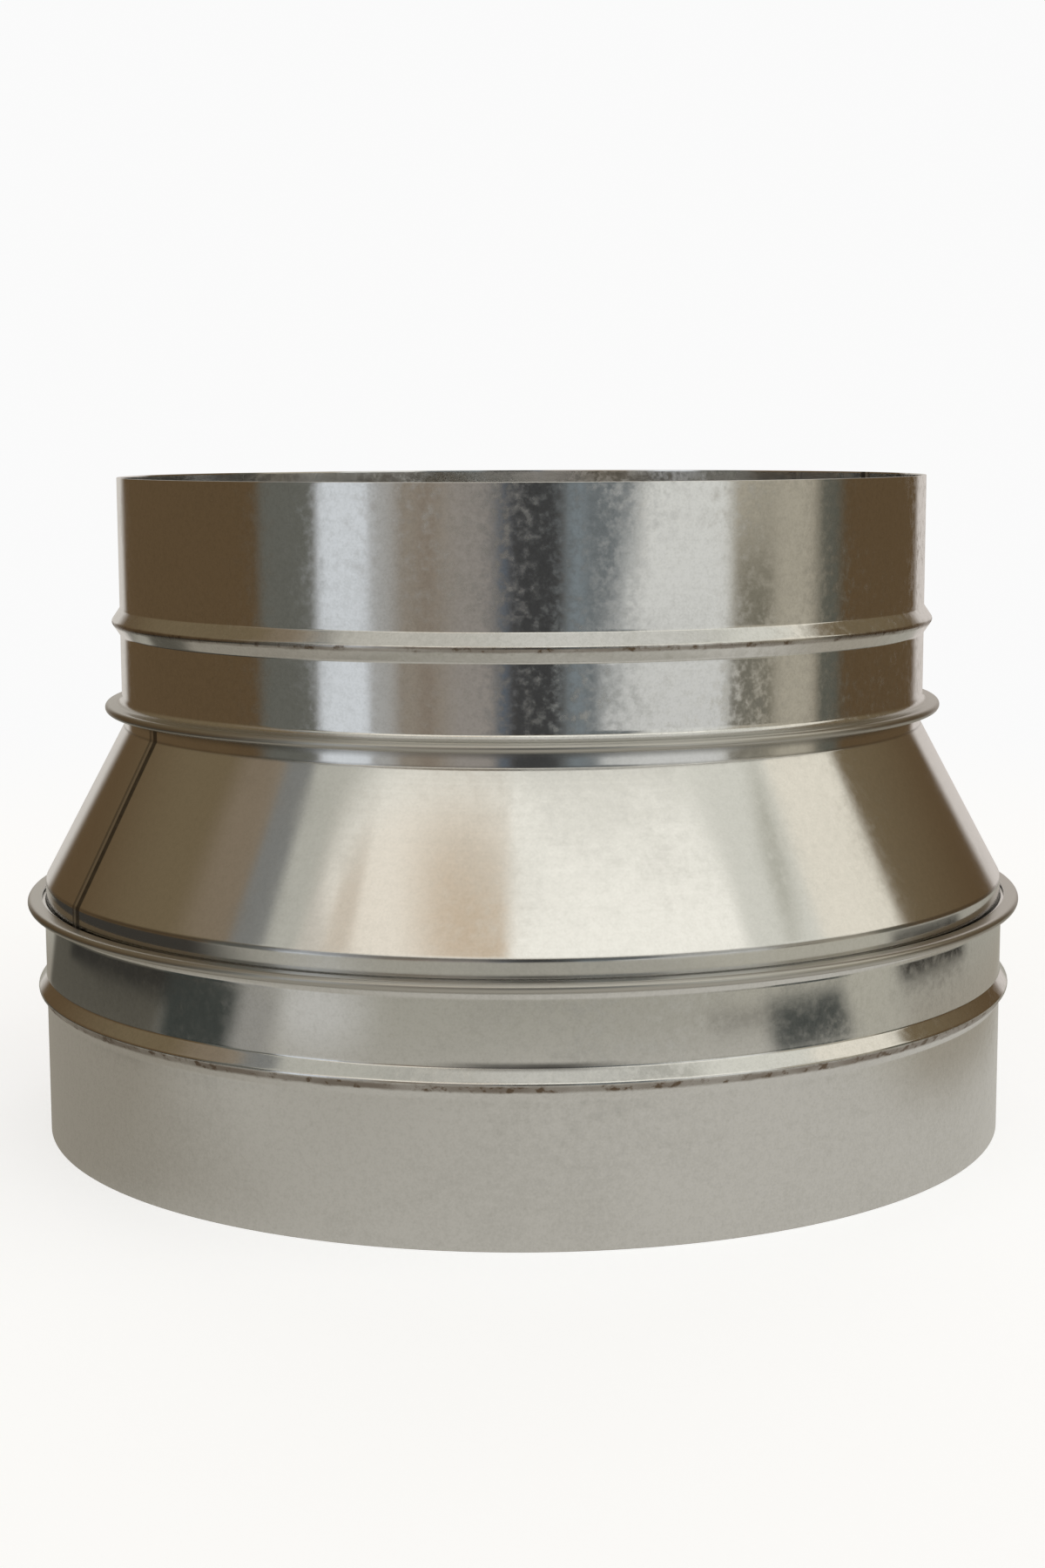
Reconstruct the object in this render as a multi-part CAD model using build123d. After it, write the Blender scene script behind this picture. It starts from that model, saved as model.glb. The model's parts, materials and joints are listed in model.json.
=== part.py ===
from build123d import *
import math
import os

# Round duct reducer of galvanised sheet, 300 mm to 250 mm, in millimetres.
# It stands on the rim of its large collar: the origin is the centre of that rim, and +Z is the duct's axis.
# Two beaded collars hold a cone between them, each by a flange folded over the cone's own flange.

# Sheet, and the outside of the two spigots that push into round duct
SHEET = 0.7
LARGE_OD = 298.5
SMALL_OD = 248.5

# Heights along the axis
LARGE_SPIGOT = 41.0  # rim to bead, the length that goes into the duct
SMALL_SPIGOT = 39.0
LARGE_SHOULDER = 17.9  # bead to flange bend
SMALL_SHOULDER = 18.05
LARGE_NECK = 7.2  # flange face of the cone to the corner where its slope starts
SMALL_NECK = 6.4
SLOPE_HEIGHT = 46.65

# Stop bead round each collar, a ridge with straight flanks
BEAD_WIDTH = 8.8
BEAD_HEIGHT = 2.5
BEAD_CREST = 1.3  # outside radius along the crest
BEAD_FOOT = 1.0  # radius on the outside, where a flank meets the wall

# Folded ring seams
FLANGE_LAND = 1.4  # flat of a collar's flange, where the cone's flange lies on it
HEM_CLEARANCE = 0.65  # between the cone's flange and the hem folded over it
EDGE_CLEARANCE = 0.3  # between the cone's flange and the bottom of the fold
HEM_GAP = 1.5  # between the hem's free edge and the cone's neck
COLLAR_BEND = 2.4  # outside radius of a collar's flange bend
FLANGE_BEND = 0.8  # outside radius of the cone's flange bends
SLOPE_BEND = 1.5  # radius on the hollow side, where a neck meets the slope

# Lap weld that closes the rolled cone; those of the collars are rolled flush, so that duct slides over them
WELD_WIDTH = 3.6
WELD_HEIGHT = 0.25
WELD_ANGLE = 210.0  # about the axis, from +X

# Worked out from the sizes above
BEAD_BENDS = BEAD_CREST + BEAD_FOOT
BEAD_OFFSET = BEAD_HEIGHT - BEAD_BENDS  # centre of the crest, out from that of a foot
BEAD_REACH = math.hypot(BEAD_WIDTH / 2, BEAD_OFFSET)
BEAD_FLANK = math.sqrt(BEAD_REACH**2 - BEAD_BENDS**2)
BEAD_LEAN = math.degrees(math.atan2(BEAD_OFFSET, BEAD_WIDTH / 2) + math.asin(BEAD_BENDS / BEAD_REACH))
FOLD_RADIUS = (3 * SHEET + HEM_CLEARANCE) / 2
CONE_HEIGHT = LARGE_NECK + SLOPE_HEIGHT + SMALL_NECK


def collar_height(spigot, shoulder):
    """Rim to the outside face of the flange."""
    return spigot + BEAD_WIDTH + shoulder + COLLAR_BEND


def neck_radius(collar_od):
    """Outside of the cone's neck, in line with the inside of its collar."""
    return collar_od / 2 - SHEET


def collar_wall(od, spigot, shoulder, depth):
    """Lines from the rim over the bead to the flange bend, at a depth under the outside face."""
    rim = (od / 2 - depth, 0)
    below_bead = Line(rim, (od / 2 - depth, spigot))
    lower_foot = JernArc(below_bead @ 1, below_bead % 1, BEAD_FOOT + depth, -BEAD_LEAN)
    rise = Line(lower_foot @ 1, lower_foot @ 1 + (lower_foot % 1) * BEAD_FLANK)
    crest = JernArc(rise @ 1, rise % 1, BEAD_CREST - depth, 2 * BEAD_LEAN)
    fall = Line(crest @ 1, crest @ 1 + (crest % 1) * BEAD_FLANK)
    upper_foot = JernArc(fall @ 1, fall % 1, BEAD_FOOT + depth, -BEAD_LEAN)
    above_bead = Line(upper_foot @ 1, upper_foot @ 1 + Vector(0, shoulder))
    return [below_bead, lower_foot, rise, crest, fall, upper_foot, above_bead]


def collar_seam(od, height, depth):
    """Lines from the end of the wall out along the flange, round the fold and back along the hem."""
    fold_start = od / 2 + COLLAR_BEND + FLANGE_LAND
    hem_edge = neck_radius(od) + HEM_GAP
    wall_end = (od / 2 - depth, height - COLLAR_BEND)
    bend = JernArc(wall_end, (0, 1), COLLAR_BEND + depth, -90)
    flange = Line(bend @ 1, (fold_start, height + depth))
    fold = JernArc(flange @ 1, flange % 1, FOLD_RADIUS - depth, 180)
    hem = Line(fold @ 1, (hem_edge, height + 2 * FOLD_RADIUS - depth))
    return [bend, flange, fold, hem]


def cone_wall(depth):
    """Lines of the two necks and the slope between them, upwards, at a depth under the outside face."""
    foot_r = neck_radius(LARGE_OD)
    head_r = neck_radius(SMALL_OD)
    lean = math.degrees(math.atan2(foot_r - head_r, SLOPE_HEIGHT))
    half_tangent = math.tan(math.radians(lean / 2))
    foot_trim = (SLOPE_BEND + SHEET) * half_tangent
    head_trim = SLOPE_BEND * half_tangent
    slope_length = math.hypot(foot_r - head_r, SLOPE_HEIGHT) - foot_trim - head_trim
    flange_top = SHEET + FLANGE_BEND

    lower_neck = Line((foot_r - depth, flange_top), (foot_r - depth, LARGE_NECK - foot_trim))
    lower_bend = JernArc(lower_neck @ 1, (0, 1), SLOPE_BEND + SHEET - depth, lean)
    slope = Line(lower_bend @ 1, lower_bend @ 1 + (lower_bend % 1) * slope_length)
    upper_bend = JernArc(slope @ 1, slope % 1, SLOPE_BEND + depth, -lean)
    upper_neck = Line(upper_bend @ 1, (head_r - depth, CONE_HEIGHT - flange_top))
    return [lower_neck, lower_bend, slope, upper_bend, upper_neck]


def cone_lines(depth):
    """Lines of the whole cone, from the edge of its lower flange to the edge of its upper one."""
    edge_reach = COLLAR_BEND + FLANGE_LAND - EDGE_CLEARANCE
    wall = cone_wall(depth)
    lower_bend = JernArc(wall[0] @ 0, (0, -1), FLANGE_BEND + depth, 90)
    lower_flange = Line((LARGE_OD / 2 + edge_reach, SHEET - depth), lower_bend @ 1)
    upper_bend = JernArc(wall[-1] @ 1, (0, 1), FLANGE_BEND + depth, -90)
    upper_flange = Line(upper_bend @ 1, (SMALL_OD / 2 + edge_reach, CONE_HEIGHT - SHEET + depth))
    return [lower_flange, lower_bend, *wall, upper_bend, upper_flange]


def section(outside, inside):
    """Upright face between two runs of lines that start and end side by side."""
    ends = [Line(outside[0] @ 0, inside[0] @ 0), Line(outside[-1] @ 1, inside[-1] @ 1)]
    return Plane.XZ * make_face([*outside, *inside, *ends])


def cone_weld():
    """Narrow raised strip along the cone's wall, half sunk in the sheet and centred on +X."""
    mean_radius = (LARGE_OD + SMALL_OD) / 4
    turn = math.degrees(WELD_WIDTH / mean_radius)
    strip = section(cone_wall(-WELD_HEIGHT), cone_wall(SHEET / 2))
    return Rot(Z=-turn / 2) * revolve(strip, Axis.Z, turn)


def collar(od, spigot, shoulder):
    """Collar standing on its rim, with the flange and hem on top."""
    def lines(depth):
        seam = collar_seam(od, collar_height(spigot, shoulder), depth)
        return collar_wall(od, spigot, shoulder, depth) + seam

    return revolve(section(lines(0), lines(SHEET)), Axis.Z)


def large_collar():
    return collar(LARGE_OD, LARGE_SPIGOT, LARGE_SHOULDER)


def cone():
    foot = collar_height(LARGE_SPIGOT, LARGE_SHOULDER) + SHEET
    sheet = revolve(section(cone_lines(0), cone_lines(SHEET)), Axis.Z)
    return Pos(Z=foot) * Rot(Z=WELD_ANGLE) * (sheet + cone_weld())


def small_collar():
    cone_top = collar_height(LARGE_SPIGOT, LARGE_SHOULDER) + SHEET + CONE_HEIGHT
    rim = cone_top + SHEET + collar_height(SMALL_SPIGOT, SMALL_SHOULDER)
    return Pos(Z=rim) * Rot(X=180) * collar(SMALL_OD, SMALL_SPIGOT, SMALL_SHOULDER)


os.makedirs("parts", exist_ok=True)
export_step(large_collar(), "parts/large_collar.step")
export_step(cone(), "parts/cone.step")
export_step(small_collar(), "parts/small_collar.step")
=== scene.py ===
import json
import math
from collections import namedtuple

import bpy
from bpy.props import FloatProperty, FloatVectorProperty, IntProperty, PointerProperty
from mathutils import Matrix, Vector


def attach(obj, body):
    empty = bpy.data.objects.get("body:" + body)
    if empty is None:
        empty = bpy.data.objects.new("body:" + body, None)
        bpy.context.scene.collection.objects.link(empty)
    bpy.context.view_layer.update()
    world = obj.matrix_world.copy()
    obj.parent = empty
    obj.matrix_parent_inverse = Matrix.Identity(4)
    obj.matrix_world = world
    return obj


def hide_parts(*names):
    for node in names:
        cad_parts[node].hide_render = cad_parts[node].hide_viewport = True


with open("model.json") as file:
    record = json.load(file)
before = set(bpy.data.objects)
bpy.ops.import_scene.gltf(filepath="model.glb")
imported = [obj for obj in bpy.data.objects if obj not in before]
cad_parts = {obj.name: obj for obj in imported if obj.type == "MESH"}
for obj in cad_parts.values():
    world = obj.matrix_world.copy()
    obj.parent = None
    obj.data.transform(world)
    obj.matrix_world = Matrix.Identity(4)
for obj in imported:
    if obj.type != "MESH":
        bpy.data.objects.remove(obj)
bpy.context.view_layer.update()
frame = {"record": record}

bl_info = {
    "name": "Duct reducer",
    "version": (1, 0, 0),
    "blender": (4, 5, 0),
    "location": "3D View > Sidebar > Reducer",
    "description": "Round duct reducer of galvanised sheet: "
                   "two beaded collars and a cone, joined by folded ring seams",
    "category": "Object",
}

# Lengths are in metres. The origin is the middle of the large rim, +Z runs up the axis, and the front is -Y.
MM = 0.001
FITTED = {mount["name"]: mount["dims"] for mount in frame["record"]["mounts"]}

# How finely the sheets are made
SUPPORT = 0.5 * MM  # strip beside a bend that keeps the flat wall's shading flat
SAME_PLACE = 0.005 * MM  # points nearer than this are merged
BURR = 0.1 * MM  # rounding of the sheet's cut edges
CUT_CORNER = math.radians(60.0)  # a corner that turns by more is a cut edge
SMOOTH_CORNER = math.radians(35.0)  # a corner that turns by less is shaded smooth

# Faces along each kind of bend
FOOT_STEPS = 6
CREST_STEPS = 12
COLLAR_STEPS = 10
FOLD_STEPS = 18
FLANGE_STEPS = 8
SLOPE_STEPS = 6


def fitted(mount, size):
    """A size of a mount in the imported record, in metres."""
    return FITTED[mount][size] * MM


def length(name, description, default):
    return FloatProperty(name=name, description=description, default=default, min=0.0, precision=5,
                         unit="LENGTH")


def angle(name, description, degrees):
    return FloatProperty(name=name, description=description, default=math.radians(degrees), subtype="ANGLE")


def colour(name, description, default):
    return FloatVectorProperty(name=name, description=description, default=default, min=0.0, max=1.0, size=3,
                               subtype="COLOR")


def share(name, description, default):
    return FloatProperty(name=name, description=description, default=default, min=0.0, max=1.0,
                         subtype="FACTOR")


class ReducerSizes(bpy.types.PropertyGroup):
    """Sizes of the sheet and of what is rolled and folded in it."""

    sheet: length("Sheet", "Thickness of the sheet",
                  fitted("large_spigot", "r_mm") - fitted("large_bore", "r_mm"))
    large_radius: length("Large radius", "Outside of the large spigot", fitted("large_spigot", "r_mm"))
    small_radius: length("Small radius", "Outside of the small spigot", fitted("small_spigot", "r_mm"))
    large_spigot: length("Large spigot", "Large rim to its bead", fitted("large_spigot", "length_mm"))
    small_spigot: length("Small spigot", "Small rim to its bead", fitted("small_spigot", "length_mm"))
    large_shoulder: length("Large shoulder", "Large bead to the flange bend", 17.9 * MM)
    small_shoulder: length("Small shoulder", "Small bead to the flange bend", 18.05 * MM)
    large_neck: length("Large neck", "Face of the cone's lower flange to the corner of its slope", 7.2 * MM)
    small_neck: length("Small neck", "Corner of the cone's slope to the face of its upper flange", 6.4 * MM)
    slope_height: length("Slope", "Height of the cone's slope", 46.65 * MM)
    bead_width: length("Bead width", "Width of a bead along the axis", 8.8 * MM)
    bead_height: length("Bead height", "How far a bead stands out of the wall", 2.5 * MM)
    bead_crest: length("Bead crest", "Outside radius along a bead's crest", 1.3 * MM)
    bead_foot: length("Bead foot", "Radius where a bead's flank meets the wall", 1.0 * MM)
    flange_land: length("Flange land", "Flat of a collar's flange", 1.4 * MM)
    hem_clearance: length("Hem clearance", "Between the cone's flange and the hem over it", 0.65 * MM)
    edge_clearance: length("Edge clearance", "Between the cone's flange and the bottom of the fold", 0.3 * MM)
    hem_gap: length("Hem gap", "Between the hem's free edge and the cone's neck", 1.5 * MM)
    collar_bend: length("Collar bend", "Outside radius of a collar's flange bend", 2.4 * MM)
    flange_bend: length("Flange bend", "Outside radius of the cone's flange bends", 0.8 * MM)
    slope_bend: length("Slope bend", "Radius on the hollow side, where a neck meets the slope", 1.5 * MM)
    weld_width: length("Weld width", "Width of the lap weld that closes the cone", 3.6 * MM)
    weld_height: length("Weld height", "How far the weld stands out of the cone", 0.25 * MM)
    weld_bearing: angle("Weld bearing", "Place of the weld about the axis, from +X", 210.0)
    large_weld: angle("Large weld", "Bearing of the large collar's flush weld, from +X", 100.0)
    small_weld: angle("Small weld", "Bearing of the small collar's flush weld, from +X", 23.0)
    around: IntProperty(name="Steps around", description="Faces round each piece", default=239,
                        min=32, max=512)


class ReducerFinish(bpy.types.PropertyGroup):
    """Colours and gloss of the galvanised sheet."""

    zinc: colour("Bright zinc", "Zinc where it is clean", (0.86, 0.86, 0.85))
    dull: colour("Dull zinc", "Zinc where it is smeared or grey", (0.68, 0.68, 0.66))
    scuff: colour("Scuff", "Worn crest of the beads", (0.19, 0.14, 0.10))
    # Colour of the rolled rings: dull zinc, partly painted shade on the fold and on the bend under it.
    fold: colour("Folds", "Zinc rolled dull along the folded rings", (0.54, 0.525, 0.485))
    # Dark tone of the weld lines and the fold corners: partly grime, partly painted shade.
    grime_and_shade: colour("Grime", "Dirt in the folds and along the weld", (0.10, 0.095, 0.09))
    gloss: share("Roughness", "Roughness of clean zinc", 0.085)
    smear: share("Smear", "Extra roughness of smeared zinc", 0.05)
    spots: share("Spots", "Extra roughness of the dull spots", 0.26)


class ReducerStage(bpy.types.PropertyGroup):
    """Floor, light and camera."""

    floor: colour("Floor", "Pale floor and backdrop", (0.96, 0.96, 0.96))
    wall: colour("Side walls", "Warm dark walls at the sides of the room", (0.110, 0.072, 0.037))
    lamp: colour("Lamp", "Wide soft lamp above the front", (0.99, 0.965, 0.88))
    lens: FloatProperty(name="Lens", description="Focal length in millimetres", default=56.82, min=1.0)
    distance: length("Camera distance", "From the axis to the camera", 0.7745)
    height: length("Camera height", "Above the floor", 0.2113)
    tilt: angle("Camera tilt", "How far the camera looks down", 7.95)
    roll: angle("Camera roll", "Turn about the line of sight", -0.21)


class SectionPen:
    """Draws the outside line of a sheet's section in edit mode: lines are extruded, bends are spun.

    A place is a radius and a height in the upright plane at the bearing. A turn to the left is positive, or
    to the right for a section drawn with the other hand.
    """

    def __init__(self, name, radius, height, heading, bearing=0.0, hand=1):
        self.place = Vector((radius, height))
        self.heading = heading
        self.bearing = bearing
        self.hand = hand
        bpy.ops.object.select_all(action="DESELECT")
        bpy.ops.mesh.primitive_plane_add(size=MM, location=self.spot(self.place))
        self.piece = bpy.context.object
        self.piece.name = name
        self.piece.data.name = name
        bpy.ops.object.transform_apply(location=True, rotation=True, scale=True)
        bpy.ops.object.mode_set(mode="EDIT")
        bpy.ops.mesh.select_mode(type="VERT")
        bpy.ops.mesh.select_all(action="SELECT")
        bpy.ops.mesh.merge(type="CENTER")

    def spot(self, place):
        """A radius and height as a point in space."""
        return (place.x * math.cos(self.bearing), place.x * math.sin(self.bearing), place.y)

    def extrude(self, run):
        step = Vector((math.cos(self.heading), math.sin(self.heading))) * run
        bpy.ops.mesh.extrude_region_move(TRANSFORM_OT_translate={"value": self.spot(step)})
        self.place += step

    def line(self, run):
        """A straight, with a narrow strip at each end where it is long enough."""
        if run < 4 * SUPPORT:
            self.extrude(run)
            return
        self.extrude(SUPPORT)
        self.extrude(run - 2 * SUPPORT)
        self.extrude(SUPPORT)

    def bend(self, radius, turn, steps):
        turn *= self.hand
        inwards = Vector((-math.sin(self.heading), math.cos(self.heading))) * math.copysign(radius, turn)
        centre = self.place + inwards
        axis = (-math.sin(self.bearing), math.cos(self.bearing), 0.0)
        bpy.ops.mesh.spin(steps=steps, angle=turn, center=self.spot(centre), axis=axis)
        arm = self.place - centre
        arm.rotate(Matrix.Rotation(turn, 2))
        self.place = centre + arm
        self.heading += turn

    def revolve(self, around):
        """Spins the line all the way round the axis, with its faces outwards, and returns the piece."""
        bpy.ops.mesh.select_all(action="SELECT")
        bpy.ops.mesh.spin(steps=around, angle=2 * math.pi, center=(0, 0, 0), axis=(0, 0, 1),
                          use_auto_merge=True)
        bpy.ops.mesh.select_all(action="SELECT")
        bpy.ops.mesh.remove_doubles(threshold=SAME_PLACE)
        bpy.ops.mesh.normals_make_consistent(inside=False)
        bpy.ops.object.mode_set(mode="OBJECT")
        widest = max(self.piece.data.polygons, key=lambda face: face.area)
        if widest.normal.dot(Vector((widest.center.x, widest.center.y, 0.0))) < 0:
            bpy.ops.object.mode_set(mode="EDIT")
            bpy.ops.mesh.select_all(action="SELECT")
            bpy.ops.mesh.flip_normals()
            bpy.ops.object.mode_set(mode="OBJECT")
        return self.piece


def apply_modifier(piece, kind, **settings):
    """Adds a modifier, gives it its settings and applies it."""
    modifier = piece.modifiers.new(kind.lower(), kind)
    for key, value in settings.items():
        setattr(modifier, key, value)
    bpy.ops.object.modifier_apply(modifier=modifier.name)


def give_thickness(piece, sheet):
    """Makes the outside face a sheet, and takes the burr off its cut edges."""
    apply_modifier(piece, "SOLIDIFY", thickness=sheet, offset=-1.0, use_even_offset=True,
                   use_quality_normals=True)
    apply_modifier(piece, "BEVEL", width=BURR, segments=2, limit_method="ANGLE", angle_limit=CUT_CORNER)


def finish_piece(piece, node, material):
    """Smooth shading, finish and place in the frame."""
    bpy.ops.object.shade_smooth_by_angle(angle=SMOOTH_CORNER)
    piece.data.materials.append(material)
    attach(piece, "root")
    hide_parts(node)


def bead_flank(sizes):
    """Length of a bead's straight flank, and how far it leans out of the wall."""
    bends = sizes.bead_crest + sizes.bead_foot
    offset = sizes.bead_height - bends
    reach = math.hypot(sizes.bead_width / 2, offset)
    lean = math.atan2(offset, sizes.bead_width / 2) + math.asin(bends / reach)
    return math.sqrt(reach**2 - bends**2), lean


def collar_rise(sizes, spigot, shoulder):
    """Rim to the outside face of the flange."""
    return spigot + sizes.bead_width + shoulder + sizes.collar_bend


def cone_foot(sizes):
    """Height of the cone's lowest face, which lies on the large collar's flange."""
    return collar_rise(sizes, sizes.large_spigot, sizes.large_shoulder) + sizes.sheet


def cone_height(sizes):
    return sizes.large_neck + sizes.slope_height + sizes.small_neck


def fold_radius(sizes):
    """Outside radius of a collar's fold, which goes round three sheets."""
    return (3 * sizes.sheet + sizes.hem_clearance) / 2


def flange_edge(sizes, radius):
    """Radius of the edge of the cone's flange inside a collar's fold."""
    return radius + sizes.collar_bend + sizes.flange_land - sizes.edge_clearance


def draw_collar(pen, sizes, radius, spigot, shoulder):
    """Wall from the rim over the bead, then the flange, the fold round the cone's flange and the hem."""
    flank, lean = bead_flank(sizes)
    hem_edge = radius - sizes.sheet + sizes.hem_gap
    pen.line(spigot)
    pen.bend(sizes.bead_foot, -lean, FOOT_STEPS)
    pen.line(flank)
    pen.bend(sizes.bead_crest, 2 * lean, CREST_STEPS)
    pen.line(flank)
    pen.bend(sizes.bead_foot, -lean, FOOT_STEPS)
    pen.line(shoulder)
    pen.bend(sizes.collar_bend, -math.pi / 2, COLLAR_STEPS)
    pen.line(sizes.flange_land)
    pen.bend(fold_radius(sizes), math.pi, FOLD_STEPS)
    pen.line(pen.place.x - hem_edge)


def draw_cone(pen, sizes):
    """Lower flange, neck, slope, neck and upper flange."""
    foot_radius = sizes.large_radius - sizes.sheet
    head_radius = sizes.small_radius - sizes.sheet
    lean = math.atan2(foot_radius - head_radius, sizes.slope_height)
    foot_trim = (sizes.slope_bend + sizes.sheet) * math.tan(lean / 2)
    head_trim = sizes.slope_bend * math.tan(lean / 2)
    slope = math.hypot(foot_radius - head_radius, sizes.slope_height) - foot_trim - head_trim
    flange = sizes.sheet + sizes.flange_bend
    pen.line(pen.place.x - foot_radius - sizes.flange_bend)
    pen.bend(sizes.flange_bend, -math.pi / 2, FLANGE_STEPS)
    pen.line(sizes.large_neck - flange - foot_trim)
    pen.bend(sizes.slope_bend + sizes.sheet, lean, SLOPE_STEPS)
    pen.line(slope)
    pen.bend(sizes.slope_bend, -lean, SLOPE_STEPS)
    pen.line(sizes.small_neck - flange - head_trim)
    pen.bend(sizes.flange_bend, -math.pi / 2, FLANGE_STEPS)
    pen.line(flange_edge(sizes, sizes.small_radius) - pen.place.x)


def raise_weld(piece, sizes):
    """Raises the column of faces at the weld's bearing, along the necks and the slope."""
    low = cone_foot(sizes) + sizes.sheet + sizes.flange_bend
    high = cone_foot(sizes) + cone_height(sizes) - sizes.sheet - sizes.flange_bend
    middle = Vector((math.cos(sizes.weld_bearing), math.sin(sizes.weld_bearing), 0.0))
    half_step = math.pi / sizes.around
    for face in piece.data.polygons:
        out = Vector((face.center.x, face.center.y, 0.0))
        beside = out.angle(middle) < half_step
        face.select = beside and low < face.center.z < high and face.normal.dot(out) > 0
    bpy.ops.object.mode_set(mode="EDIT")
    bpy.ops.mesh.select_mode(type="FACE")
    bpy.ops.mesh.extrude_region_shrink_fatten(TRANSFORM_OT_shrink_fatten={"value": sizes.weld_height})
    bpy.ops.object.mode_set(mode="OBJECT")


# Sockets that share their names with others: those of a Mix node for colours, and a Vector Math node's number
MIX_FACTOR, MIX_FIRST, MIX_SECOND, MIX_RESULT = 0, 6, 7, 2
VECTOR_NUMBER = 1


class Socket:
    """One socket of a node tree. Sums and products of sockets add Math nodes."""

    def __init__(self, tree, link):
        self.tree = tree
        self.link = link

    def node(self, kind, settings, inputs, output=0):
        """Adds a node: its settings first, then the values or links of its sockets."""
        made = self.tree.nodes.new(kind)
        for key, value in settings.items():
            setattr(made, key, value)
        for key, value in inputs.items():
            if isinstance(value, Socket):
                self.tree.links.new(value.link, made.inputs[key])
            else:
                made.inputs[key].default_value = value
        return Socket(self.tree, made.outputs[output])

    def math(self, operation, *values):
        return self.node("ShaderNodeMath", {"operation": operation}, dict(enumerate(values)))

    def __add__(self, other):
        return self.math("ADD", self, other)

    def __radd__(self, other):
        return self.math("ADD", other, self)

    def __sub__(self, other):
        return self.math("SUBTRACT", self, other)

    def __rsub__(self, other):
        return self.math("SUBTRACT", other, self)

    def __mul__(self, other):
        return self.math("MULTIPLY", self, other)

    def __rmul__(self, other):
        return self.math("MULTIPLY", other, self)

    def __truediv__(self, other):
        return self.math("DIVIDE", self, other)

    def __rtruediv__(self, other):
        return self.math("DIVIDE", other, self)

    def __abs__(self):
        return self.math("ABSOLUTE", self)

    def step(self, start, end):
        """0 before start and 1 after end, with a smooth rise between; start may be the larger."""
        return self.node("ShaderNodeMapRange", {"interpolation_type": "SMOOTHSTEP"},
                         {"Value": self, "From Min": start, "From Max": end, "To Min": 0.0, "To Max": 1.0})

    def between(self, low, high, edge):
        """1 between two values and 0 outside them, over soft edges that reach as far to both sides."""
        return self.step(low - edge, low + edge) * self.step(high + edge, high - edge)

    def mix(self, first, second):
        """Blends two colours by this value."""
        return self.node("ShaderNodeMix", {"data_type": "RGBA"},
                         {MIX_FACTOR: self, MIX_FIRST: rgba(first), MIX_SECOND: rgba(second)}, MIX_RESULT)

    def blend(self, first, second):
        """Blends two shaders by this value."""
        return self.node("ShaderNodeMixShader", {}, {0: self, 1: first, 2: second})

    def stretched(self, x, y, z):
        """This vector scaled along each axis."""
        return self.node("ShaderNodeVectorMath", {"operation": "MULTIPLY"}, {0: self, 1: (x, y, z)})

    def distance(self, point=(0.0, 0.0, 0.0)):
        """How far this vector's end is from a point."""
        return self.node("ShaderNodeVectorMath", {"operation": "DISTANCE"}, {0: self, 1: point},
                         VECTOR_NUMBER)

    def noise(self, scale, detail, rough):
        return self.node("ShaderNodeTexNoise", {"normalize": True},
                         {"Vector": self, "Scale": scale, "Detail": detail, "Roughness": rough})

    def patches(self, kind):
        """Soft patches where a noise is high."""
        return self.noise(*kind.noise).step(kind.low, kind.high)

    def axes(self):
        """The vector's three parts."""
        parts = self.node("ShaderNodeSeparateXYZ", {}, {0: self}).link.node
        return [Socket(self.tree, part) for part in parts.outputs]


def rgba(value):
    """A colour that a socket takes, from three numbers or from another socket."""
    return value if isinstance(value, Socket) else (*value[:3], 1.0)


def coordinates(tree, kind):
    """Where a point lies: Object on a piece or the stage, Generated for a direction in the world."""
    return Socket(tree, None).node("ShaderNodeTexCoord", {}, {}, kind)


def front_bearing(x, y):
    """Degrees about the axis, from the front to the right."""
    return x.math("ARCTAN2", x, y * -1.0) * math.degrees(1.0)


def new_material(name):
    """An empty node material, and its surface socket."""
    material = bpy.data.materials.new(name)
    material.use_nodes = True
    material.node_tree.nodes.clear()
    output = material.node_tree.nodes.new("ShaderNodeOutputMaterial")
    return material, output.inputs["Surface"]


# Noises in the zinc. Those that show as patches start at low and are full at high.
Noise = namedtuple("Noise", "scale detail rough")
Patches = namedtuple("Patches", "noise low high")
RAGGED = Noise(1.0, 4.0, 0.7)  # uneven edges of wear, dirt and painted shade
RAGGED_STRETCH = (130.0, 130.0, 420.0)
ROLLED = Noise(1.0, 3.0, 0.6)  # rolling lines round the part
ROLLED_STRETCH = (6.0, 6.0, 900.0)
GRAIN = Noise(560.0, 2.0, 0.6)
FINE_GRAIN = Noise(1500.0, 1.0, 0.5)
WAVES = Noise(18.0, 1.0, 0.4)  # the sheet isn't quite flat
CLOUDS = Patches(Noise(20.0, 2.0, 0.5), 0.34, 0.64)  # where spots gather, and where the dirt and painted shade of the folds are thickest
SMEARS = Patches(Noise(24.0, 4.0, 0.6), 0.42, 0.70)
SPOTS = Patches(Noise(380.0, 2.0, 0.6), 0.35, 0.83)
RUBBED = Patches(Noise(45.0, 2.0, 0.6), 0.30, 0.62)  # longer stretches of a worn line
BLOTS = Patches(Noise(270.0, 3.0, 0.65), 0.50, 0.70)  # short blots in it

# How much of each shows
SMEAR_DULL, SPOT_DULL, ROLLED_DULL, GRAIN_DULL = 0.22, 0.10, 0.18, 0.45  # shares of dull zinc in the colour
CLOUD_FLOOR = 0.35  # spots outside the clouds
LEFT_SPOTS = 0.4  # spots at the left of the part, which is cleaner
LEFT_EDGE = (-60.0 * MM, -10.0 * MM)
ROLLED_ROUGH = 0.03
WAVE_HEIGHT = 0.1 * MM
ROLLED_HEIGHT = 0.0012 * MM

# Wear along the beads
BEAD_FALL = 0.5  # how fast a bead's face falls away beside its crest
WORN_DEPTH = (0.42 * MM, 0.28 * MM)  # under that face: no wear below the first, all of it above the second
WEAR_RAGGED = 1.0 * MM
WEAR_CORE = 0.3  # share of the line's width that is fully worn
WEAR_EVEN, WEAR_RUBBED, WEAR_BLOTS = 0.50, 0.30, 0.60
WEAR_ROUGH = 0.35
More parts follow.
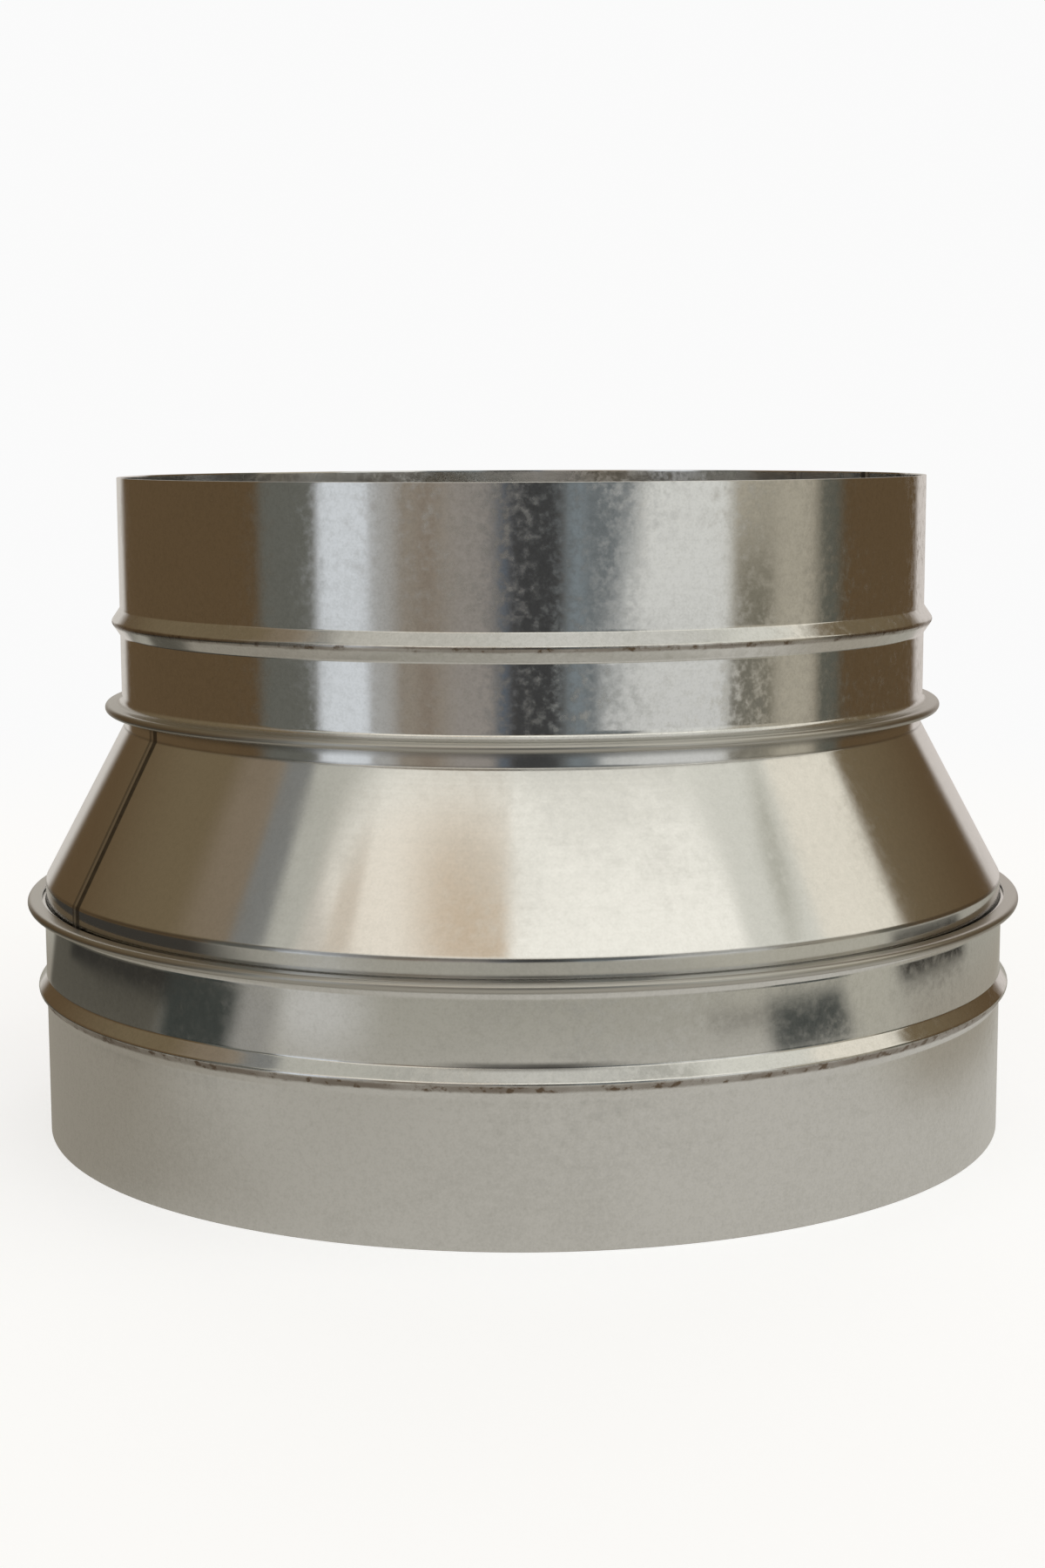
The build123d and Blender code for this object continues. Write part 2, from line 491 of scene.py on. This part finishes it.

# Dull zinc on the folded rings, darkened partly as painted shade on the fold and on the bend under it
RING_OUT = (0.3 * MM, 1.2 * MM)  # out from the wall
RING_HALF = (3.0 * MM, 2.0 * MM)  # up and down from the middle
RING_SHARE = 0.9
RING_ROUGH = 0.34

# A weld's strip, and the dark lines at its sides, which are painted shade along the weld's edges with some
# grime; each line fades from the second half-width to the first
STRIP_SHARE = 0.8
STRIP_EDGE = 0.6 * MM
STRIP_ROUGH = 0.36
RIGHT_LINE = (1.7 * MM, 1.0 * MM)
LEFT_LINE = (1.0 * MM, 0.5 * MM)
LEFT_LINE_SHARE = 0.6
LINE_DIRT_AND_SHADE, LINE_RAGGED = 0.7, 0.4
SIDE_EDGE = 1.0 * MM  # past the axis, for what shows on one side of the part only

# Dirt and painted shade in the folds and corners
DIRT_AND_SHADE_RAGGED = 0.4 * MM
DIRT_AND_SHADE_CORE = 0.15  # share of its reach where it is thickest
DIRT_AND_SHADE_FLOOR = 0.6  # dirt and painted shade outside the clouds
DIRT_AND_SHADE_ROUGH = 0.35

# The front stretch of the valley above the large bead, darkened with dirt and painted shade
FRONT_VALLEY_LEFT = (-30.0 * MM, -6.0 * MM)
FRONT_VALLEY_RIGHT = (34.0 * MM, 6.0 * MM)

Weld = namedtuple("Weld", "bearing width")
Crest = namedtuple("Crest", "radius top drop spread wear")
Fold = namedtuple("Fold", "radius height spread dirt")


class ZincCoat:
    """Bright zinc on a sheet, lightly smeared, mottled with dull spots and with rolling lines round it.

    Wear, dirt and painted shade are laid over it one after another. The mottle is how strong its spots are,
    and the grain how much its fine grain shows.
    """

    def __init__(self, name, finish, mottle, grain):
        self.material, self.surface = new_material(name)
        place = coordinates(self.material.node_tree, "Object")
        self.place = place
        self.finish = finish
        self.x, self.y, self.height = place.axes()
        self.radius = place.math("SQRT", self.x * self.x + self.y * self.y)
        self.ragged = place.stretched(*RAGGED_STRETCH).noise(*RAGGED)
        self.rolled = place.stretched(*ROLLED_STRETCH).noise(*ROLLED)
        self.clouds = CLOUD_FLOOR + place.patches(CLOUDS) * (1.0 - CLOUD_FLOOR)
        smear = place.patches(SMEARS)
        cleaner = LEFT_SPOTS + self.x.step(*LEFT_EDGE) * (1.0 - LEFT_SPOTS)
        spots = place.patches(SPOTS) * self.clouds * cleaner
        grainy = (place.noise(*GRAIN) + place.noise(*FINE_GRAIN) - 1.0) * (GRAIN_DULL * grain)
        dull = smear * SMEAR_DULL + spots * SPOT_DULL + self.rolled * ROLLED_DULL + grainy
        self.colour = dull.mix(finish.zinc, finish.dull)
        self.roughness = finish.gloss + smear * finish.smear + spots * (mottle * finish.spots)
        self.roughness = self.roughness + (self.rolled - 0.5) * ROLLED_ROUGH

    def lay(self, mask, tone, roughness):
        """Lays a tone over the zinc, with a roughness of its own."""
        self.colour = mask.mix(self.colour, tone)
        self.roughness = self.roughness + (roughness - self.roughness) * mask

    def wear_crest(self, crest):
        """Rubs the zinc off in a patchy line along the outside of a bead, a little below its crest."""
        face = self.radius - crest.radius + abs(self.height - crest.top) * BEAD_FALL
        outside = face.step(-WORN_DEPTH[0], -WORN_DEPTH[1])
        across = abs(self.height - crest.top + crest.drop) + (self.ragged - 0.5) * WEAR_RAGGED
        line = outside * across.step(crest.spread, crest.spread * WEAR_CORE)
        rubbed = self.place.patches(RUBBED) * WEAR_RUBBED
        blots = self.place.patches(BLOTS) * WEAR_BLOTS
        self.lay(line * (WEAR_EVEN + rubbed + blots) * crest.wear, self.finish.scuff, WEAR_ROUGH)

    def dull_and_shade_ring(self, radius, height):
        """Dulls the ring of a hard-rolled seam, by the radius of its wall and its mid-height. Its darker tone
        is partly painted shade on the fold and on the bend below it.
        """
        ring = (self.radius - radius).step(*RING_OUT) * abs(self.height - height).step(*RING_HALF)
        self.lay(ring * RING_SHARE, self.finish.fold, RING_ROUGH)

    def mark_weld(self, weld):
        """Draws a weld as a strip of dull zinc between two dark lines of painted shade with some grime, the
        right one the wider.
        """
        along = Vector((math.cos(weld.bearing), math.sin(weld.bearing)))
        half = weld.width / 2
        beside = self.y * along.x - self.x * along.y
        near_side = (self.x * along.x + self.y * along.y).step(0.0, SIDE_EDGE)
        right_line = abs(beside - half).step(*RIGHT_LINE)
        left_line = abs(beside + half).step(*LEFT_LINE) * LEFT_LINE_SHARE
        strip = near_side * abs(beside).step(half, half - STRIP_EDGE)
        self.lay(strip * STRIP_SHARE, self.finish.dull, STRIP_ROUGH)
        # The side lines are painted shade along the weld's edges, the right one a painted dark reflection,
        # with some grime mixed in.
        dirt = near_side * (right_line + left_line) * (LINE_DIRT_AND_SHADE + self.ragged * LINE_RAGGED)
        self.lay(dirt, self.finish.grime_and_shade, DIRT_AND_SHADE_ROUGH)

    def soil_and_shade_fold(self, fold, along=1.0):
        """Darkens a corner of the sheet with dirt and painted shade, along all of it or where the mask says.
        """
        out = self.radius - fold.radius
        up = self.height - fold.height
        reach = self.place.math("SQRT", out * out + up * up)
        # Painted shade that falls into the corner, with some dirt.
        dirt = (reach + (self.ragged - 0.5) * DIRT_AND_SHADE_RAGGED).step(fold.spread, fold.spread * DIRT_AND_SHADE_CORE)
        thick = DIRT_AND_SHADE_FLOOR + self.clouds * (1.0 - DIRT_AND_SHADE_FLOOR)
        self.lay(dirt * thick * fold.dirt * along, self.finish.grime_and_shade, DIRT_AND_SHADE_ROUGH)

    def front_valley_mask(self):
        """Mask of the front of the part, where the valley above the large bead is darkened with dirt and
        painted shade.
        """
        sides = self.x.step(*FRONT_VALLEY_LEFT) * self.x.step(*FRONT_VALLEY_RIGHT)
        return sides * self.y.step(0.0, -SIDE_EDGE)

    def finished(self):
        """The material, with the slight waves and rolling lines of its face."""
        relief = self.place.noise(*WAVES) * WAVE_HEIGHT + self.rolled * ROLLED_HEIGHT
        bump = self.place.node("ShaderNodeBump", {}, {"Strength": 1.0, "Distance": 1.0, "Height": relief})
        shader = self.place.node("ShaderNodeBsdfPrincipled", {},
                                 {"Base Color": self.colour, "Metallic": 1.0, "Roughness": self.roughness,
                                  "Normal": bump})
        self.material.node_tree.links.new(shader.link, self.surface)
        return self.material


def cone_folds(sizes):
    """Corners between the necks, the slope and the hems, darkened with dirt and painted shade."""
    foot = cone_foot(sizes)
    top = foot + cone_height(sizes)
    hem = 2 * sizes.sheet + sizes.hem_clearance
    foot_radius = sizes.large_radius - sizes.sheet
    head_radius = sizes.small_radius - sizes.sheet
    return (Fold(foot_radius, foot + hem, spread=1.8 * MM, dirt=0.35),
            Fold(foot_radius, foot + sizes.large_neck, spread=0.8 * MM, dirt=0.5),
            Fold(head_radius, top - sizes.small_neck, spread=0.8 * MM, dirt=0.4),
            Fold(head_radius, top - hem, spread=2.6 * MM, dirt=0.6))


class REDUCER_OT_large_collar(bpy.types.Operator):
    """Rolls the large collar, with its bead and the hem that holds the cone's lower flange"""

    bl_idname = "reducer.large_collar"
    bl_label = "Large collar"
    bl_options = {"REGISTER", "UNDO"}

    def execute(self, context):
        sizes = context.scene.reducer_sizes
        pen = SectionPen("large_collar_sheet", sizes.large_radius, 0.0, math.pi / 2)
        draw_collar(pen, sizes, sizes.large_radius, sizes.large_spigot, sizes.large_shoulder)
        piece = pen.revolve(sizes.around)
        give_thickness(piece, sizes.sheet)
        coat = ZincCoat("large_collar_zinc", context.scene.reducer_finish, mottle=0.6, grain=2.0)
        crest = sizes.large_spigot + sizes.bead_width / 2
        coat.wear_crest(Crest(sizes.large_radius + sizes.bead_height, crest,
                              drop=1.1 * MM, spread=1.6 * MM, wear=1.0))
        coat.dull_and_shade_ring(sizes.large_radius, cone_foot(sizes) - sizes.sheet + fold_radius(sizes))
        coat.mark_weld(Weld(sizes.large_weld, sizes.weld_width))
        # The valley above the bead, darkened at the front with dirt and painted shade.
        valley = Fold(sizes.large_radius, crest + sizes.bead_width / 2, spread=1.6 * MM, dirt=0.85)
        coat.soil_and_shade_fold(valley, coat.front_valley_mask())
        finish_piece(piece, "large_collar", coat.finished())
        return {"FINISHED"}


class REDUCER_OT_cone(bpy.types.Operator):
    """Rolls the cone with its two necks and flanges, and raises its lap weld"""

    bl_idname = "reducer.cone"
    bl_label = "Cone"
    bl_options = {"REGISTER", "UNDO"}

    def execute(self, context):
        sizes = context.scene.reducer_sizes
        bearing = sizes.weld_bearing - math.pi / sizes.around
        edge = flange_edge(sizes, sizes.large_radius)
        pen = SectionPen("cone_sheet", edge, cone_foot(sizes) + sizes.sheet, math.pi, bearing)
        draw_cone(pen, sizes)
        piece = pen.revolve(sizes.around)
        give_thickness(piece, sizes.sheet)
        raise_weld(piece, sizes)
        coat = ZincCoat("cone_zinc", context.scene.reducer_finish, mottle=0.25, grain=1.2)
        coat.mark_weld(Weld(sizes.weld_bearing, sizes.weld_width))
        for fold in cone_folds(sizes):
            coat.soil_and_shade_fold(fold)
        finish_piece(piece, "cone", coat.finished())
        return {"FINISHED"}


class REDUCER_OT_small_collar(bpy.types.Operator):
    """Rolls the small collar, which is made as the large one is and turned over"""

    bl_idname = "reducer.small_collar"
    bl_label = "Small collar"
    bl_options = {"REGISTER", "UNDO"}

    def execute(self, context):
        sizes = context.scene.reducer_sizes
        rise = collar_rise(sizes, sizes.small_spigot, sizes.small_shoulder)
        rim = cone_foot(sizes) + cone_height(sizes) + sizes.sheet + rise
        pen = SectionPen("small_collar_sheet", sizes.small_radius, rim, -math.pi / 2, hand=-1)
        draw_collar(pen, sizes, sizes.small_radius, sizes.small_spigot, sizes.small_shoulder)
        piece = pen.revolve(sizes.around)
        give_thickness(piece, sizes.sheet)
        coat = ZincCoat("small_collar_zinc", context.scene.reducer_finish, mottle=1.0, grain=2.2)
        crest = rim - sizes.small_spigot - sizes.bead_width / 2
        coat.wear_crest(Crest(sizes.small_radius + sizes.bead_height, crest,
                              drop=0.4 * MM, spread=1.1 * MM, wear=0.85))
        coat.dull_and_shade_ring(sizes.small_radius, rim - rise - fold_radius(sizes))
        coat.mark_weld(Weld(sizes.small_weld, sizes.weld_width))
        finish_piece(piece, "small_collar", coat.finished())
        return {"FINISHED"}


# Floor that the camera sees: lit and shaded near the part, plain backdrop further off
DISC_SIDES = 128
FLOOR_RADIUS = 8.0
FLOOR_TONE = (0.78, 0.80, 0.84)
FLOOR_ROUGH = 0.9
FLOOR_GLOW = 0.62
FLOOR_FADE = (0.35, 1.1)


def pale_floor(stage):
    """Large floor for the camera, which fades into the backdrop."""
    bpy.ops.mesh.primitive_circle_add(vertices=DISC_SIDES, radius=FLOOR_RADIUS, fill_type="NGON",
                                      location=(0, 0, 0))
    floor = bpy.context.object
    floor.name = "floor"
    floor.visible_glossy = False
    material, surface = new_material("pale_floor")
    tree = material.node_tree
    place = coordinates(tree, "Object")
    near = place.node("ShaderNodeBsdfPrincipled", {},
                      {"Base Color": rgba(FLOOR_TONE), "Roughness": FLOOR_ROUGH, "Specular IOR Level": 0.0,
                       "Emission Color": rgba(stage.floor), "Emission Strength": FLOOR_GLOW})
    far = place.node("ShaderNodeEmission", {}, {"Color": rgba(stage.floor), "Strength": 1.0})
    shader = place.distance().step(*FLOOR_FADE).blend(near, far)
    tree.links.new(shader.link, surface)
    material.cycles.emission_sampling = "NONE"
    floor.data.materials.append(material)


# Table that the zinc mirrors: a glowing disc whose colours are painted light and shade. Its right is lighter
# than its left, and broad tones are laid over both. Each of these sides has a start and an end across the
# table, a start and an end along it, and its tone.
TABLE_RADIUS = 0.8
TABLE_LIFT = 0.1 * MM
TABLE_FADE = (0.52, 0.68)
TABLE_RIGHT = (0.50, 0.48, 0.435)
TABLE_LEFT = (0.41, 0.39, 0.345)
TABLE_TURN = (0.10, -0.16)
TABLE_FAR = (0.37, 0.355, 0.305)
FAR_FROM = (0.29, 0.42)
Side = namedtuple("Side", "across along tone")
NEAR_LEFT = Side((-0.04, -0.14), (-0.19, -0.06), (0.29, 0.265, 0.22))
NEAR_RIGHT = Side((0.17, 0.26), (-0.14, -0.04), (0.35, 0.32, 0.265))
FAR_RIGHT = Side((0.22, 0.32), (-0.03, -0.12), (0.44, 0.42, 0.355))
FAR_LEFT = Side((-0.325, -0.375), (-0.34, -0.16), (0.042, 0.038, 0.032))
# A painted pool of light on the table.
BRIGHT_SPOT = (-0.255, -0.325, 0.0)
BRIGHT_REACH = (0.11, 0.02)
BRIGHT_TONE = (0.53, 0.52, 0.49)

# Soft-edged shades on the table: degrees from the front to the right, then distances from the axis
Shade = namedtuple("Shade", "left right near far tone")
SHADE_SIDE_EDGE = 2.5
SHADE_END_EDGE = 0.012
SHADES = (
    Shade(-125, -73, 0.285, 0.420, (0.095, 0.088, 0.070)),
    Shade(-112, -70, 0.378, 0.450, (0.032, 0.030, 0.026)),
    Shade(-60, -46, 0.300, 0.440, (0.300, 0.290, 0.265)),
    Shade(-73, -55, 0.300, 0.440, (0.045, 0.050, 0.045)),
    Shade(45.5, 63.5, 0.330, 0.416, (0.060, 0.065, 0.060)),
    Shade(34, 47, 0.382, 0.402, (0.160, 0.150, 0.130)),
    Shade(80, 106, 0.390, 0.490, (0.025, 0.022, 0.018)),
)


def table_tones(place):
    """Colours of the table: its broad tones, then its shades."""
    x, y = place.axes()[:2]
    away = place.distance()

    def lay_side(tone, side):
        return (x.step(*side.across) * y.step(*side.along)).mix(tone, side.tone)

    tone = x.step(*TABLE_TURN).mix(TABLE_RIGHT, TABLE_LEFT)
    tone = lay_side(tone, NEAR_LEFT)
    tone = lay_side(tone, NEAR_RIGHT)
    tone = away.step(*FAR_FROM).mix(tone, TABLE_FAR)
    tone = lay_side(tone, FAR_RIGHT)
    tone = place.distance(BRIGHT_SPOT).step(*BRIGHT_REACH).mix(tone, BRIGHT_TONE)
    tone = lay_side(tone, FAR_LEFT)
    bearing = front_bearing(x, y)
    for shade in SHADES:
        turned = bearing.between(shade.left, shade.right, SHADE_SIDE_EDGE)
        reached = away.between(shade.near, shade.far, SHADE_END_EDGE)
        tone = (turned * reached).mix(tone, shade.tone)
    return tone


def table_top():
    """The table as only the zinc mirrors it: a glowing grey disc with painted light and shade, soft at its
    edge and with dark shades to the sides.
    """
    bpy.ops.mesh.primitive_circle_add(vertices=DISC_SIDES, radius=TABLE_RADIUS, fill_type="NGON",
                                      location=(0, 0, TABLE_LIFT))
    table = bpy.context.object
    table.name = "table_top"
    bpy.ops.object.transform_apply(location=True)
    for ray in ("camera", "diffuse", "transmission", "volume_scatter", "shadow"):
        setattr(table, "visible_" + ray, False)
    material, surface = new_material("grey_table")
    tree = material.node_tree
    place = coordinates(tree, "Object")
    glow = place.node("ShaderNodeEmission", {}, {"Color": table_tones(place), "Strength": 1.0})
    clear = place.node("ShaderNodeBsdfTransparent", {}, {})
    shader = place.distance().step(*TABLE_FADE).blend(glow, clear)
    tree.links.new(shader.link, surface)
    material.cycles.emission_sampling = "NONE"
    table.data.materials.append(material)


# Soft panels of the room, in degrees: from the front to the right, then up, each with a soft edge
Panel = namedtuple("Panel", "left right side_edge low high end_edge tone")
ZENITH = 90
BEHIND = 180
WALLS = (
    Panel(-180, 180, 1.0, 16, 90, 10, (0.165, 0.125, 0.072)),
    Panel(-93, -76, 5.0, 26, 50, 6, (0.225, 0.178, 0.125)),
    Panel(-76, -57, 2.0, -40, 26, 4, (0.125, 0.125, 0.108)),
    Panel(-57, -41, 1.5, -40, 26, 4, (0.67, 0.70, 0.73)),
    Panel(-41, -33, 1.5, -40, 26, 4, (0.38, 0.375, 0.36)),
    Panel(-34, -7, 4.0, -40, 26, 4, (0.275, 0.24, 0.195)),
    Panel(-20, -7, 3.0, -40, 26, 4, (0.29, 0.265, 0.24)),
    Panel(-28, -23, 1.5, -40, 26, 4, (0.235, 0.195, 0.155)),
    Panel(-7, -3, 1.5, -40, 24, 4, (0.105, 0.125, 0.15)),
    Panel(-3, 11, 1.5, -40, 22, 4, (0.050, 0.050, 0.050)),
    Panel(11, 32, 1.5, -40, 24, 4, (0.15, 0.165, 0.17)),
    Panel(12.5, 17, 1.2, -40, 24, 4, (0.20, 0.23, 0.245)),
    Panel(32, 60, 3.0, -40, 26, 4, (0.69, 0.69, 0.655)),
    Panel(27, 60, 2.5, -40, -2.4, 1.0, (0.68, 0.68, 0.65)),
    Panel(21, 60, 2.0, -40, -5.0, 0.5, (0.62, 0.62, 0.60)),
    Panel(59, 89, 4.0, -40, 22, 4, (0.41, 0.375, 0.30)),
    Panel(60, 73, 3.0, -8, -2.4, 0.7, (0.18, 0.165, 0.125)),
    Panel(58, 70, 1.5, -8, -4.8, 0.5, (0.17, 0.16, 0.13)),
    Panel(89, 98, 1.5, -40, 18, 4, (0.105, 0.105, 0.085)),
)
CEILING = (
    Panel(-180, 180, 1.0, 60, 90, 8, (0.58, 0.56, 0.52)),
    Panel(-78, 108, 9.0, 40, 90, 9, (0.53, 0.51, 0.455)),
    Panel(-10, 104, 30.0, 45, 90, 6, (0.62, 0.61, 0.565)),
    Panel(-78, 103, 1.5, 29, 51, 3, (0.205, 0.206, 0.195)),
    Panel(-68.8, 103, 1.5, 29, 51, 3, (0.48, 0.47, 0.415)),
    Panel(50, 103, 3.0, 24, 51, 3, (0.70, 0.69, 0.62)),
    Panel(80, 103, 2.0, 20, 41, 2, (0.83, 0.78, 0.67)),
)
LAMP_BANDS = (
    Panel(-70, -4, 1.0, 34, 46, 2.0, (0.87, 0.80, 0.69)),
    Panel(-60, -52, 1.5, 30, 39.3, 0.8, (0.60, 0.555, 0.485)),
    Panel(-53, -46.5, 1.2, 34, 43.5, 1.0, (0.63, 0.55, 0.45)),
)
LAST_PANELS = (
    Panel(70.5, 77.5, 2.5, 33.4, 37, 1.2, (0.46, 0.45, 0.385)),
    Panel(-180, -152, 4, -40, 90, 6, (0.62, 0.585, 0.54)),
    Panel(147, 180, 3, -40, 90, 6, (0.64, 0.59, 0.55)),
)

# The lamp, in degrees: upright sides with a rounded top, a paler rim along that top, and a warm oval near it
LAMP_SPRING = 36.5  # height where the rounded top starts
LAMP_HALF = (59.5, 12.5)
LAMP_EDGE = (1.03, 0.98)
LAMP_FOOT = (26.0, 32.0)
RIM_BAND = (0.92, 0.97)
RIM_FROM = (38.0, 42.0)
RIM_TONE = (0.92, 0.90, 0.82)
WARM_MIDDLE = (-13.0, 44.6)
WARM_HALF = (26.0, 3.8)
WARM_EDGE = (1.1, 0.2)
WARM_END = (-3.4, -4.6)
WARM_TONE = (0.60, 0.48, 0.35)


def hang_panels(panels, room, azimuth, elevation):
    """Lays panels over the room's colours, one after another."""
    for panel in panels:
        edge = panel.end_edge
        inside = elevation.step(panel.low - edge, panel.low + edge)
        if panel.high < ZENITH:
            inside = inside * elevation.step(panel.high + edge, panel.high - edge)
        edge = panel.side_edge
        if panel.left > -BEHIND:
            inside = inside * azimuth.step(panel.left - edge, panel.left + edge)
        if panel.right < BEHIND:
            inside = inside * azimuth.step(panel.right + edge, panel.right - edge)
        room = inside.mix(room, panel.tone)
    return room


def oval(azimuth, elevation, middle, half):
    """1 at the rim of an oval in the room, and less inside it."""
    across = (azimuth - middle[0]) / half[0]
    up = (elevation - middle[1]) / half[1]
    return azimuth.math("SQRT", across * across + up * up)


def hang_lamp(stage, room, azimuth, elevation):
    """Lays the lamp over the room's colours."""
    above = elevation.math("MAXIMUM", elevation, LAMP_SPRING)
    reach = oval(azimuth, above, (0.0, LAMP_SPRING), LAMP_HALF)
    glow = hang_panels(LAMP_BANDS, stage.lamp, azimuth, elevation)
    warm = oval(azimuth, elevation, WARM_MIDDLE, WARM_HALF).step(*WARM_EDGE) * azimuth.step(*WARM_END)
    glow = warm.mix(glow, WARM_TONE)
    glow = (reach.step(*RIM_BAND) * elevation.step(*RIM_FROM)).mix(glow, RIM_TONE)
    return (reach.step(*LAMP_EDGE) * elevation.step(*LAMP_FOOT)).mix(room, glow)


def studio_world(stage):
    """Plain backdrop for the camera; for all else a warm room with a wide round-topped lamp in front."""
    world = bpy.data.worlds.new("studio")
    bpy.context.scene.world = world
    world.use_nodes = True
    tree = world.node_tree
    tree.nodes.clear()
    way = coordinates(tree, "Generated")
    x, y, z = way.axes()
    azimuth = front_bearing(x, y)
    elevation = way.math("ARCSINE", z) * math.degrees(1.0)
    room = hang_panels(WALLS + CEILING, stage.wall, azimuth, elevation)
    room = hang_lamp(stage, room, azimuth, elevation)
    room = hang_panels(LAST_PANELS, room, azimuth, elevation)
    seen = way.node("ShaderNodeLightPath", {}, {}, "Is Camera Ray")
    light = way.node("ShaderNodeBackground", {}, {"Color": seen.mix(room, stage.floor), "Strength": 1.0})
    output = tree.nodes.new("ShaderNodeOutputWorld")
    tree.links.new(light.link, output.inputs["Surface"])


# Camera's frame, in millimetres along its longer side, and the nearest it sees
FRAME_SIDE = 36.0
NEAREST = 0.01


def photo_camera(stage):
    """Camera at the place and angle of the photograph."""
    data = bpy.data.cameras.new("camera")
    data.lens = stage.lens
    data.sensor_width = FRAME_SIDE
    data.sensor_fit = "AUTO"
    data.clip_start = NEAREST
    camera = bpy.data.objects.new("camera", data)
    bpy.context.scene.collection.objects.link(camera)
    ahead = Vector((0.0, math.cos(stage.tilt), -math.sin(stage.tilt)))
    right = Vector((1.0, 0.0, 0.0))
    up = right.cross(ahead)
    leaning = right * math.cos(stage.roll) + up * math.sin(stage.roll)
    axes = Matrix((leaning, leaning.cross(ahead), -ahead)).transposed()
    camera.matrix_world = Matrix.Translation((0.0, -stage.distance, stage.height)) @ axes.to_4x4()
    bpy.context.scene.camera = camera


class REDUCER_OT_stage(bpy.types.Operator):
    """Sets the pale floor, the soft light and the camera"""

    bl_idname = "reducer.stage"
    bl_label = "Floor, light and camera"
    bl_options = {"REGISTER", "UNDO"}

    def execute(self, context):
        stage = context.scene.reducer_stage
        pale_floor(stage)
        table_top()
        studio_world(stage)
        photo_camera(stage)
        context.scene.view_settings.view_transform = "Standard"
        return {"FINISHED"}


OPERATORS = (REDUCER_OT_large_collar, REDUCER_OT_cone, REDUCER_OT_small_collar, REDUCER_OT_stage)


class REDUCER_PT_sidebar(bpy.types.Panel):
    """Lists the pieces of the reducer and its sizes"""

    bl_idname = "REDUCER_PT_sidebar"
    bl_label = "Duct reducer"
    bl_space_type = "VIEW_3D"
    bl_region_type = "UI"
    bl_category = "Reducer"

    def draw(self, context):
        column = self.layout.column()
        scene = context.scene
        for operator in OPERATORS:
            column.operator(operator.bl_idname)
        for group in (scene.reducer_sizes, scene.reducer_finish, scene.reducer_stage):
            for name in group.bl_rna.properties.keys():
                if name not in ("rna_type", "name"):
                    column.prop(group, name)


CLASSES = (ReducerSizes, ReducerFinish, ReducerStage, *OPERATORS, REDUCER_PT_sidebar)


def register():
    for kind in CLASSES:
        bpy.utils.register_class(kind)
    bpy.types.Scene.reducer_sizes = PointerProperty(type=ReducerSizes)
    bpy.types.Scene.reducer_finish = PointerProperty(type=ReducerFinish)
    bpy.types.Scene.reducer_stage = PointerProperty(type=ReducerStage)


def unregister():
    del bpy.types.Scene.reducer_stage
    del bpy.types.Scene.reducer_finish
    del bpy.types.Scene.reducer_sizes
    for kind in reversed(CLASSES):
        bpy.utils.unregister_class(kind)


def main():
    register()
    bpy.ops.reducer.large_collar()
    bpy.ops.reducer.cone()
    bpy.ops.reducer.small_collar()
    bpy.ops.reducer.stage()


if __name__ == "__main__":
    main()
